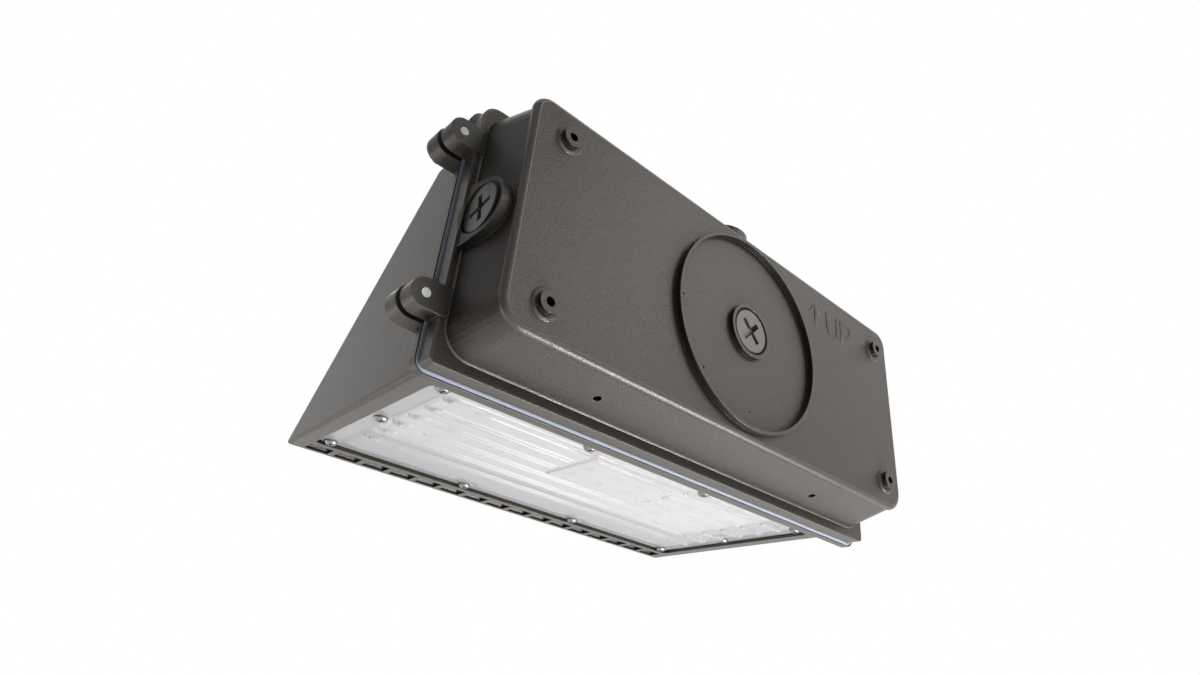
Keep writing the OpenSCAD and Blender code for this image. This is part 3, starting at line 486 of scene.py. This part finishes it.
# The edge of the door gasket that bulges out between the castings, in millimetres: its outline, its
# depth, and its section, a circle that stands a little proud of the outline
GASKET = {
    "left": -139.7, "right": 143.2, "low": -64.6, "high": 62.2, "radius_high": 4.5, "radius_low": 4.5,
}
GASKET_DEPTH = 40.1
LIP_RADIUS = 1.2
LIP_PROUD = 0.6
LIP_STEPS = 12


def lip_ring(place, out):
    """Round section of the bulging edge at one place."""
    ring = []
    for step in range(LIP_STEPS):
        turn = 2 * math.pi * step / LIP_STEPS
        reach = LIP_PROUD - LIP_RADIUS + LIP_RADIUS * math.cos(turn)
        ring.append((place + out * reach + Vector((0, LIP_RADIUS * math.sin(turn), 0))) * MM)
    return ring


class WALLPACK_OT_gaskets(bpy.types.Operator):
    """Finishes the door gasket, with its bulging edge, and the lens gasket"""
    bl_idname = "wallpack.gaskets"
    bl_label = "Gaskets"

    def execute(self, context):
        finish = context.scene.wall_pack_finish
        # Extruded silicone: matt, a little translucent and cool in colour
        silicone, shader = new_material("silicone_rubber", finish.door_gasket, roughness=0.55, ior=1.41)
        grain(silicone, shader, cell=0.8, height=0.03)
        # Foamed silicone, cut from sheet: pale with fine open pores
        foam, shader = new_material("foamed_silicone", linear("#B4B5BA"), roughness=0.7, ior=1.41)
        grain(foam, shader, cell=0.5, height=0.05)
        finish_node("door_gasket", silicone)
        finish_node("lens_gasket", foam)

        down = Vector((0, GASKET_DEPTH, 0))
        rings = [lip_ring(middle + out * r - down, out) for middle, out, r in corner_places(**GASKET)]
        lip = bmesh.new()
        loft(lip, rings, closed=True)
        piece("gasket_lip", lip, silicone, "housing")
        return {"FINISHED"}


# The floor of the hood, as the model has it: its depth and height at the root, and its rise in radians
HOOD_DEPTH = 45.2
HOOD_FLOOR = -59.4
FLOOR_TILT = math.atan(1.8 / 147.1)

# The lens, in millimetres in the frame of the hood's floor: half width, rear, front, corner radius,
# and the heights of its inner face, of its flange and of its raised tray
LENS_HALF = 125.6
LENS_REAR = 14.5
LENS_FRONT = 128.4
LENS_CORNER = 3.4
LENS_INNER = 4.2
LENS_FLANGE = 2.0
LENS_TRAY = 0.9
# Where the slope of the tray starts from the edge of the lens, and how wide that slope is
TRAY_INSET_SIDE = 8.0
TRAY_INSET = 5.2
TRAY_SLOPE = 4.4
# The screws of the lens: in four columns at its rear and front edge, and one at the middle of each side
SCREW_COLUMNS = (-119.1, -39.7, 39.7, 119.1)
SCREW_ROWS = (17.7, 125.2)
SCREW_MIDDLE = 71.45
SCREW_PLACES = [(x, y) for x in SCREW_COLUMNS for y in SCREW_ROWS]
SCREW_PLACES += [(x, SCREW_MIDDLE) for x in (SCREW_COLUMNS[0], SCREW_COLUMNS[-1])]
SCREW_HOLE = 1.9
SCALLOP_RADIUS = 5.6
# The raised lines, in pairs: their places, half length, distance from the middle of the pair and radius
LINE_PLACES = [23.85 + 14.5 * i for i in range(6)]
LINE_HALF = 111.0
LINE_APART = 1.7
LINE_RADIUS = 0.9
# The thicker ends of a pair of lines: length, radius and rise above the tray
LINE_END = 14.0
LINE_END_RADIUS = 2.6
LINE_END_RISE = 0.7
# The beads at the ends of the lines: place along the line from its end, place across it, and radius.
# A bead rises by a share of its radius.
BEADS = [
    (0.0, 0.0, 2.0), (-2.8, 1.5, 1.2), (-2.8, -1.5, 1.2), (2.6, 0.4, 1.1), (-14.0, 0.0, 1.7),
    (-16.4, 1.2, 0.9),
]
BEAD_SHARE = 0.6
# The smooth block: half width, rear, front, height above the tray and the width of its slope; the lines
# stop short of it
BLOCK_HALF = 30.2
BLOCK_REAR = 22.7
BLOCK_FRONT = 62.85
BLOCK_RISE = 1.1
BLOCK_SLOPE = 1.0
BLOCK_CLEAR = 3
# The fine ridges along the rear of the block: their distances from it, and their radius
BLOCK_RIDGES = (2.0, 3.6)
RIDGE_RADIUS = 0.6

# The grid of the lens, in millimetres: its coarse spacing, the least distance between two lines, and
# the offsets of the fine lines on both sides of each feature
COARSE_COLUMNS = 6
COARSE_ROWS = 2.4
LEAST_APART = 0.18
ROUND_SCREW = (0.0, 1.4, 2.8, 4.2, 5.6, 7.0, 8.6)
ROUND_LINE = (0.0, 0.5, 0.9, 1.3, 1.7, 2.1, 2.5, 2.9)
ROUND_LINE_END = [0.8 * k for k in range(13)]
ROUND_LENS_SIDE = [0.6 * k for k in range(22)]
ROUND_BLOCK_SIDE = (0.0, 0.25, 0.5, 3.0)
ROUND_BLOCK_END = (0.0, 0.25, 0.5)
ROUND_RIDGE = (0.0, 0.3, 0.6)


def step_up(value, width):
    """Rises smoothly from 0 to 1 while value goes from 0 to width."""
    t = min(max(value / width, 0.0), 1.0)
    return t * t * (3 - 2 * t)


def line_height(x, y, height):
    """Height of the lens at a place with its raised lines, their ends and their beads."""
    for place in LINE_PLACES:
        off = y - place
        side = abs(abs(off) - LINE_APART)
        behind_block = place < BLOCK_FRONT + BLOCK_CLEAR and abs(x) < BLOCK_HALF + BLOCK_CLEAR
        if side < LINE_RADIUS and abs(x) < LINE_HALF and not behind_block:
            height = min(height, LENS_TRAY - math.sqrt(LINE_RADIUS ** 2 - side ** 2))
        if abs(off) < LINE_END_RADIUS and LINE_HALF - LINE_END < abs(x) < LINE_HALF:
            height = min(height, LENS_TRAY - LINE_END_RISE * math.sqrt(1 - (off / LINE_END_RADIUS) ** 2))
        for along, across, radius in BEADS:
            reach = math.hypot(abs(x) - LINE_HALF - along, off - across)
            if reach < radius:
                dome = BEAD_SHARE * math.sqrt(radius ** 2 - reach ** 2)
                height = min(height, LENS_TRAY - LINE_END_RISE - dome)
    return height


def block_height(x, y, height):
    """Height of the lens at a place with its smooth block and the ridges on it."""
    on_block = min(BLOCK_HALF - abs(x), y - BLOCK_REAR, BLOCK_FRONT - y) + BLOCK_SLOPE / 2
    if on_block > 0:
        height = min(height, LENS_TRAY - BLOCK_RISE * step_up(on_block, BLOCK_SLOPE))
        for ridge in BLOCK_RIDGES:
            off = abs(y - BLOCK_REAR - ridge)
            if off < RIDGE_RADIUS and abs(x) < BLOCK_HALF - ridge:
                height -= math.sqrt(RIDGE_RADIUS ** 2 - off ** 2)
    return height


def lens_height(x, y):
    """Height of the outer face of the lens at a place; smaller is further out."""
    inside = min(
        LENS_HALF - TRAY_INSET_SIDE - abs(x), y - LENS_REAR - TRAY_INSET, LENS_FRONT - TRAY_INSET - y)
    clear = min(math.hypot(x - px, y - py) for px, py in SCREW_PLACES) - SCALLOP_RADIUS
    height = LENS_FLANGE - (LENS_FLANGE - LENS_TRAY) * step_up(min(inside, clear), TRAY_SLOPE)
    return block_height(x, y, line_height(x, y, height))


def grid_lines(low, high, coarse, fine_places):
    """Sorted grid lines: an even coarse row and, round each fine place, the offsets that go with it."""
    count = round((high - low) / coarse)
    lines = [low + (high - low) * i / count for i in range(count + 1)]
    for place, offsets in fine_places:
        lines += [place + sign * offset for offset in offsets for sign in (-1, 1)]
    kept = []
    for line in sorted(line for line in lines if low <= line <= high):
        if not kept or line - kept[-1] > LEAST_APART:
            kept.append(line)
    return kept


def lens_grid():
    """The columns and the rows of the grid of the lens."""
    columns = [(x, ROUND_SCREW) for x in SCREW_COLUMNS[1:3]]
    for side in (-1, 1):
        columns.append((side * (LINE_HALF - LINE_END / 2), ROUND_LINE_END))
        columns.append((side * LENS_HALF, ROUND_LENS_SIDE))
        columns.append((side * BLOCK_HALF, ROUND_BLOCK_SIDE))
    rows = [(y, ROUND_SCREW) for y in (*SCREW_ROWS, SCREW_MIDDLE)]
    rows += [(y, ROUND_LINE) for y in LINE_PLACES]
    rows += [(y, ROUND_BLOCK_END) for y in (BLOCK_REAR, BLOCK_FRONT)]
    rows += [(BLOCK_REAR + ridge, ROUND_RIDGE) for ridge in BLOCK_RIDGES]
    return (
        grid_lines(-LENS_HALF, LENS_HALF, COARSE_COLUMNS, columns),
        grid_lines(LENS_REAR, LENS_FRONT, COARSE_ROWS, rows))


def within_corners(x, y):
    """Pulls a place of the square grid that lies past a rounded corner of the lens onto that corner."""
    middle = (LENS_REAR + LENS_FRONT) / 2
    over_x = abs(x) - (LENS_HALF - LENS_CORNER)
    over_y = abs(y - middle) - ((LENS_FRONT - LENS_REAR) / 2 - LENS_CORNER)
    past = math.hypot(over_x, over_y)
    if over_x <= 0 or over_y <= 0 or past <= LENS_CORNER:
        return x, y
    shrink = 1 - LENS_CORNER / past
    return x - math.copysign(over_x * shrink, x), y - math.copysign(over_y * shrink, y - middle)


def floor_point(x, y, z):
    """A place in the frame of the hood's floor, with y from the root, in metres of the model."""
    cos, sin = math.cos(FLOOR_TILT), math.sin(FLOOR_TILT)
    return Vector((x, -HOOD_DEPTH - y * cos + z * sin, HOOD_FLOOR + y * sin + z * cos)) * MM


def lens_mesh():
    """The moulded lens as a closed grid with its tray, lines, beads, block and screw holes."""
    columns, rows = lens_grid()
    mesh_data = bmesh.new()
    outer, inner = [], []
    for x in columns:
        for y in rows:
            px, py = within_corners(x, y)
            outer.append(mesh_data.verts.new(floor_point(px, py, lens_height(px, py))))
            inner.append(mesh_data.verts.new(floor_point(px, py, LENS_INNER)))
    count = len(rows)
    for i in range(len(columns) - 1):
        for k in range(count - 1):
            x, y = (columns[i] + columns[i + 1]) / 2, (rows[k] + rows[k + 1]) / 2
            if min(math.hypot(x - px, y - py) for px, py in SCREW_PLACES) < SCREW_HOLE:
                continue
            corners = (i * count + k, i * count + k + 1, (i + 1) * count + k + 1, (i + 1) * count + k)
            mesh_data.faces.new([outer[c] for c in corners])
            mesh_data.faces.new([inner[c] for c in reversed(corners)])
    partner = dict(zip(outer, inner))
    rim = [e for e in mesh_data.edges if e.is_boundary and all(v in partner for v in e.verts)]
    for edge in rim:
        a, b = edge.verts
        mesh_data.faces.new((a, b, partner[b], partner[a]))
    loose = [v for v in mesh_data.verts if not v.link_faces]
    bmesh.ops.delete(mesh_data, geom=loose, context="VERTS")
    return mesh_data


class WALLPACK_OT_lens(bpy.types.Operator):
    """Makes the moulded lens with its sloped tray, raised lines, beads and block"""
    bl_idname = "wallpack.lens"
    bl_label = "Lens"

    def execute(self, context):
        finish = context.scene.wall_pack_finish
        # Moulded polycarbonate with an etched inner face: milky, glossy outside, shows the board behind it
        plastic, shader = new_material(
            "frosted_polycarbonate", finish.lens, roughness=0.16, ior=1.58, alpha=finish.lens_alpha)
        grain(plastic, shader, cell=9, height=0.12)
        finish_node("lens", plastic)
        lens = piece("moulded_lens", lens_mesh(), plastic, "hood")
        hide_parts("lens")
        return {"FINISHED"}


class WALLPACK_OT_light_engine(bpy.types.Operator):
    """Finishes the tray, the LED board, the LEDs, their leads, the driver and its bracket"""
    bl_idname = "wallpack.light_engine"
    bl_label = "Light engine"

    def execute(self, context):
        finish = context.scene.wall_pack_finish
        # Rolled aluminium sheet in mill finish: fine lines along the rolling direction
        sheet, shader = new_material("mill_aluminium", finish.aluminium, metallic=1.0, roughness=0.4)
        noise = grain(sheet, shader, cell=0.6, height=0.01, stretch=(0.04, 1, 1))
        vary_roughness(sheet, shader, noise, low=0.32, high=0.46)
        # White solder mask, screen printed and cured: glossy with a slight orange peel
        mask, shader = new_material("white_solder_mask", linear("#F2F2F3"), roughness=0.35, ior=1.5)
        grain(mask, shader, cell=2.5, height=0.02)
        # Silicone with yellow phosphor, cast into the LED packages: dull yellow under a smooth skin
        phosphor, shader = new_material("phosphor_silicone", linear("#C2B88E"), roughness=0.3, ior=1.41)
        grain(phosphor, shader, cell=0.5, height=0.02)
        # Extruded silicone insulation of a lead: satin and soft in colour
        lead, shader = new_material("silicone_insulation", finish.lead, roughness=0.45, ior=1.41)
        grain(lead, shader, cell=0.6, height=0.02)
        # Anodised aluminium can of the driver: satin, pale, with a fine bead blasted relief
        can, shader = new_material("anodised_aluminium", linear("#D6D7D4"), metallic=0.9, roughness=0.45)
        grain(can, shader, cell=0.35, height=0.02, edge=0.6 * MM)
        for name, material in (
                ("led_tray", sheet), ("driver_bracket", sheet), ("led_board", mask), ("leds", phosphor),
                ("led_leads", lead), ("driver", can)):
            finish_node(name, material)
        return {"FINISHED"}


class WALLPACK_OT_mains_side(bpy.types.Operator):
    """Finishes the terminal block and the ground screw"""
    bl_idname = "wallpack.mains_side"
    bl_label = "Mains side"

    def execute(self, context):
        # Moulded polyamide: off white, satin
        nylon, shader = new_material("moulded_polyamide", linear("#E6E0CC"), roughness=0.45, ior=1.53)
        grain(nylon, shader, cell=0.8, height=0.03, edge=0.4 * MM)
        # Steel with a green passivated zinc coat, which marks the ground screw
        green, shader = new_material("green_zinc", linear("#3F8F55"), metallic=0.8, roughness=0.35)
        grain(green, shader, cell=0.3, height=0.01)
        finish_node("terminal_block", nylon)
        finish_node("ground_screw", green)
        return {"FINISHED"}


class WALLPACK_OT_fasteners(bpy.types.Operator):
    """Finishes the screws and the hinge pins"""
    bl_idname = "wallpack.fasteners"
    bl_label = "Fasteners"

    def execute(self, context):
        finish = context.scene.wall_pack_finish
        # Cold headed steel with bright zinc: shiny, with faint marks of the tumbling barrel
        zinc, shader = new_material("zinc_plated_steel", finish.steel, metallic=1.0, roughness=0.34)
        noise = grain(zinc, shader, cell=0.5, height=0.008, edge=0.2 * MM)
        vary_roughness(zinc, shader, noise, low=0.26, high=0.42)
        # Stainless steel with its dull passive skin, on the screws that hold the lens
        stainless, shader = new_material(
            "stainless_steel", linear("#8E8E8D"), metallic=1.0, roughness=0.38)
        grain(stainless, shader, cell=0.5, height=0.008, edge=0.2 * MM)
        finish_node("lens_screws", stainless)
        for name in (
                "tray_screws", "bracket_screws", "driver_screws", "terminal_screws", "hinge_pins",
                "door_screw_upper", "door_screw_lower"):
            finish_node(name, zinc)
        return {"FINISHED"}


# The floor reaches this far from the light on each side, in metres
FLOOR_REACH = 6.0
FLOOR_CORNERS = [(-1, -1), (1, -1), (1, 1), (-1, 1)]
# The cards that keep light off parts of the castings: their corners, in metres
SIDE_CARD = [(0.7, -0.75, -0.45), (0.7, 0.9, -0.45), (0.7, 0.9, 1.3), (0.7, -0.75, 1.3)]
HOOD_CARD = [(0.7, -1.55, 0.6), (0.7, -0.75, 0.6), (0.7, -0.75, 1.5), (0.7, -1.55, 1.5)]
BACK_CARD = [(-0.45, 1.0, 0.85), (0.75, 1.0, 0.85), (0.75, 1.0, 1.9), (-0.45, 1.0, 1.9)]
# The lamps: place and width in metres, and the property that holds the power. All point at one place.
LAMPS = [
    ("low_lamp", (-0.3, 0.1, -0.73), 0.5, "low_power"),
    ("back_lamp", (-0.65, 0.95, 0.65), 0.7, "back_power"),
    ("side_lamp", (0.8, -0.75, -0.4), 0.6, "side_power"),
    ("front_lamp", (-0.5, -1.3, 0.9), 0.8, "front_power"),
]
LAMP_TARGET = (0, -0.09, 0)
WHITE = (1, 1, 1, 1)


def flat_sheet(name, corners, material):
    """A flat sheet of the stage between corners, seen from both sides."""
    mesh = bpy.data.meshes.new(name)
    mesh.from_pydata(corners, [], [range(len(corners))])
    mesh.materials.append(material)
    sheet = bpy.data.objects.new(name, mesh)
    bpy.context.scene.collection.objects.link(sheet)
    return sheet


def area_lamp(name, place, width, power):
    """A round soft lamp that points at the light and isn't seen itself."""
    data = bpy.data.lights.new(name, "AREA")
    data.shape = "DISK"
    data.size = width
    data.energy = power
    lamp = bpy.data.objects.new(name, data)
    lamp.location = place
    lamp.rotation_euler = (Vector(place) - Vector(LAMP_TARGET)).to_track_quat("Z", "Y").to_euler()
    lamp.visible_camera = False
    bpy.context.scene.collection.objects.link(lamp)


def with_reflections(owner, path, share):
    """Adds the rays that mirrors and see-through pieces send on to a share of the rays."""
    for kind in ("Is Glossy Ray", "Is Transmission Ray"):
        widest = add_node(owner, "ShaderNodeMath", {0: share, 1: path.outputs[kind]}, operation="MAXIMUM")
        share = widest.outputs[0]
    return share


def board_material(name, colour, mirrored, grain_size, pale=0.0):
    """A matt board: how brightly it is mirrored, where 1 is white, and how much paler it is seen."""
    material, shader = new_material(name, colour, roughness=0.9, specular=0.0)
    grain(material, shader, cell=grain_size, height=0.1)
    path = add_node(material, "ShaderNodeLightPath")
    glow = add_node(material, "ShaderNodeEmission", {"Color": WHITE, "Strength": mirrored})
    seen = add_node(
        material, "ShaderNodeMath", {0: path.outputs["Is Camera Ray"], 1: pale}, operation="MULTIPLY")
    mix = add_node(material, "ShaderNodeMixShader", {
        "Fac": with_reflections(material, path, seen.outputs[0]), 1: shader.outputs[0], 2: glow.outputs[0]})
    output = material.node_tree.nodes["Material Output"]
    material.node_tree.links.new(mix.outputs[0], output.inputs["Surface"])
    return material


def photo_camera(scene):
    """The camera at the place, the angle and the lens of the photograph."""
    data = bpy.data.cameras.new("photo_camera")
    data.sensor_width = CAMERA_SENSOR
    data.lens = CAMERA_LENS
    data.clip_start = CAMERA_NEAREST
    camera = bpy.data.objects.new("photo_camera", data)
    turn = Matrix((CAMERA_RIGHT, CAMERA_UP, CAMERA_BACK)).transposed().to_4x4()
    camera.matrix_world = Matrix.Translation(CAMERA_PLACE) @ turn
    scene.collection.objects.link(camera)
    scene.camera = camera


def white_surroundings(scene, ambient):
    """White where it is seen or mirrored, and a soft even light on everything else."""
    world = bpy.data.worlds.new("white_surroundings")
    world.use_nodes = True
    world.node_tree.nodes.clear()
    path = add_node(world, "ShaderNodeLightPath")
    seen = with_reflections(world, path, path.outputs["Is Camera Ray"])
    even = add_node(world, "ShaderNodeBackground", {"Color": WHITE, "Strength": ambient})
    white = add_node(world, "ShaderNodeBackground", {"Color": WHITE, "Strength": 1.0})
    mix = add_node(world, "ShaderNodeMixShader", {"Fac": seen, 1: even.outputs[0], 2: white.outputs[0]})
    add_node(world, "ShaderNodeOutputWorld", {"Surface": mix.outputs[0]})
    scene.world = world


class WALLPACK_OT_stage(bpy.types.Operator):
    """Sets up the camera, the pale floor, the cards, the soft lamps and the white surroundings"""
    bl_idname = "wallpack.stage"
    bl_label = "Stage"

    def execute(self, context):
        settings = context.scene.wall_pack_stage
        context.scene.view_settings.view_transform = "Standard"
        photo_camera(context.scene)

        # Smooth painted board: plain and pale, and white where the castings mirror it
        paint = board_material("matt_paint", settings.floor_colour, mirrored=1.0, grain_size=6, pale=0.75)
        floor = [(x * FLOOR_REACH, y * FLOOR_REACH, -settings.floor_drop) for x, y in FLOOR_CORNERS]
        flat_sheet("floor", floor, paint)
        # Grey and black card that keep light off the side of the door screws, as in the photograph
        grey = board_material("grey_card", linear("#0C0C0C"), mirrored=0.4, grain_size=2)
        black = board_material("black_card", linear("#0C0C0C"), mirrored=0.0, grain_size=2)
        for name, corners, material in (
                ("side_card", SIDE_CARD, grey), ("hood_card", HOOD_CARD, grey),
                ("back_card", BACK_CARD, black)):
            flat_sheet(name, corners, material).visible_camera = False

        for name, place, width, power in LAMPS:
            area_lamp(name, place, width, getattr(settings, power))
        white_surroundings(context.scene, settings.ambient)
        return {"FINISHED"}


GROUPS = {
    "wall_pack_finish": WallPackFinish,
    "wall_pack_sizes": WallPackSizes,
    "wall_pack_stage": WallPackStage,
}
STEPS = (
    WALLPACK_OT_stage, WALLPACK_OT_castings, WALLPACK_OT_ports, WALLPACK_OT_gaskets, WALLPACK_OT_lens,
    WALLPACK_OT_light_engine, WALLPACK_OT_mains_side, WALLPACK_OT_fasteners,
)


class WALLPACK_PT_panel(bpy.types.Panel):
    """Lists the colours, the sizes and the steps in the sidebar"""
    bl_label = "Wall Pack Light"
    bl_idname = "WALLPACK_PT_panel"
    bl_space_type = "VIEW_3D"
    bl_region_type = "UI"
    bl_category = "Wall Pack"

    def draw(self, context):
        for group_name in GROUPS:
            group = getattr(context.scene, group_name)
            box = self.layout.box()
            for name in group.bl_rna.properties.keys():
                if name not in ("rna_type", "name"):
                    box.prop(group, name)
        for step in STEPS:
            self.layout.operator(step.bl_idname)


def register():
    for cls in (*GROUPS.values(), *STEPS, WALLPACK_PT_panel):
        bpy.utils.register_class(cls)
    for name, cls in GROUPS.items():
        setattr(bpy.types.Scene, name, bpy.props.PointerProperty(type=cls))


def unregister():
    for name in GROUPS:
        delattr(bpy.types.Scene, name)
    for cls in reversed((*GROUPS.values(), *STEPS, WALLPACK_PT_panel)):
        bpy.utils.unregister_class(cls)


def main():
    """Runs every step in order."""
    register()
    bpy.ops.wallpack.stage()
    bpy.ops.wallpack.castings()
    bpy.ops.wallpack.ports()
    bpy.ops.wallpack.gaskets()
    bpy.ops.wallpack.lens()
    bpy.ops.wallpack.light_engine()
    bpy.ops.wallpack.mains_side()
    bpy.ops.wallpack.fasteners()


if __name__ == "__main__":
    main()
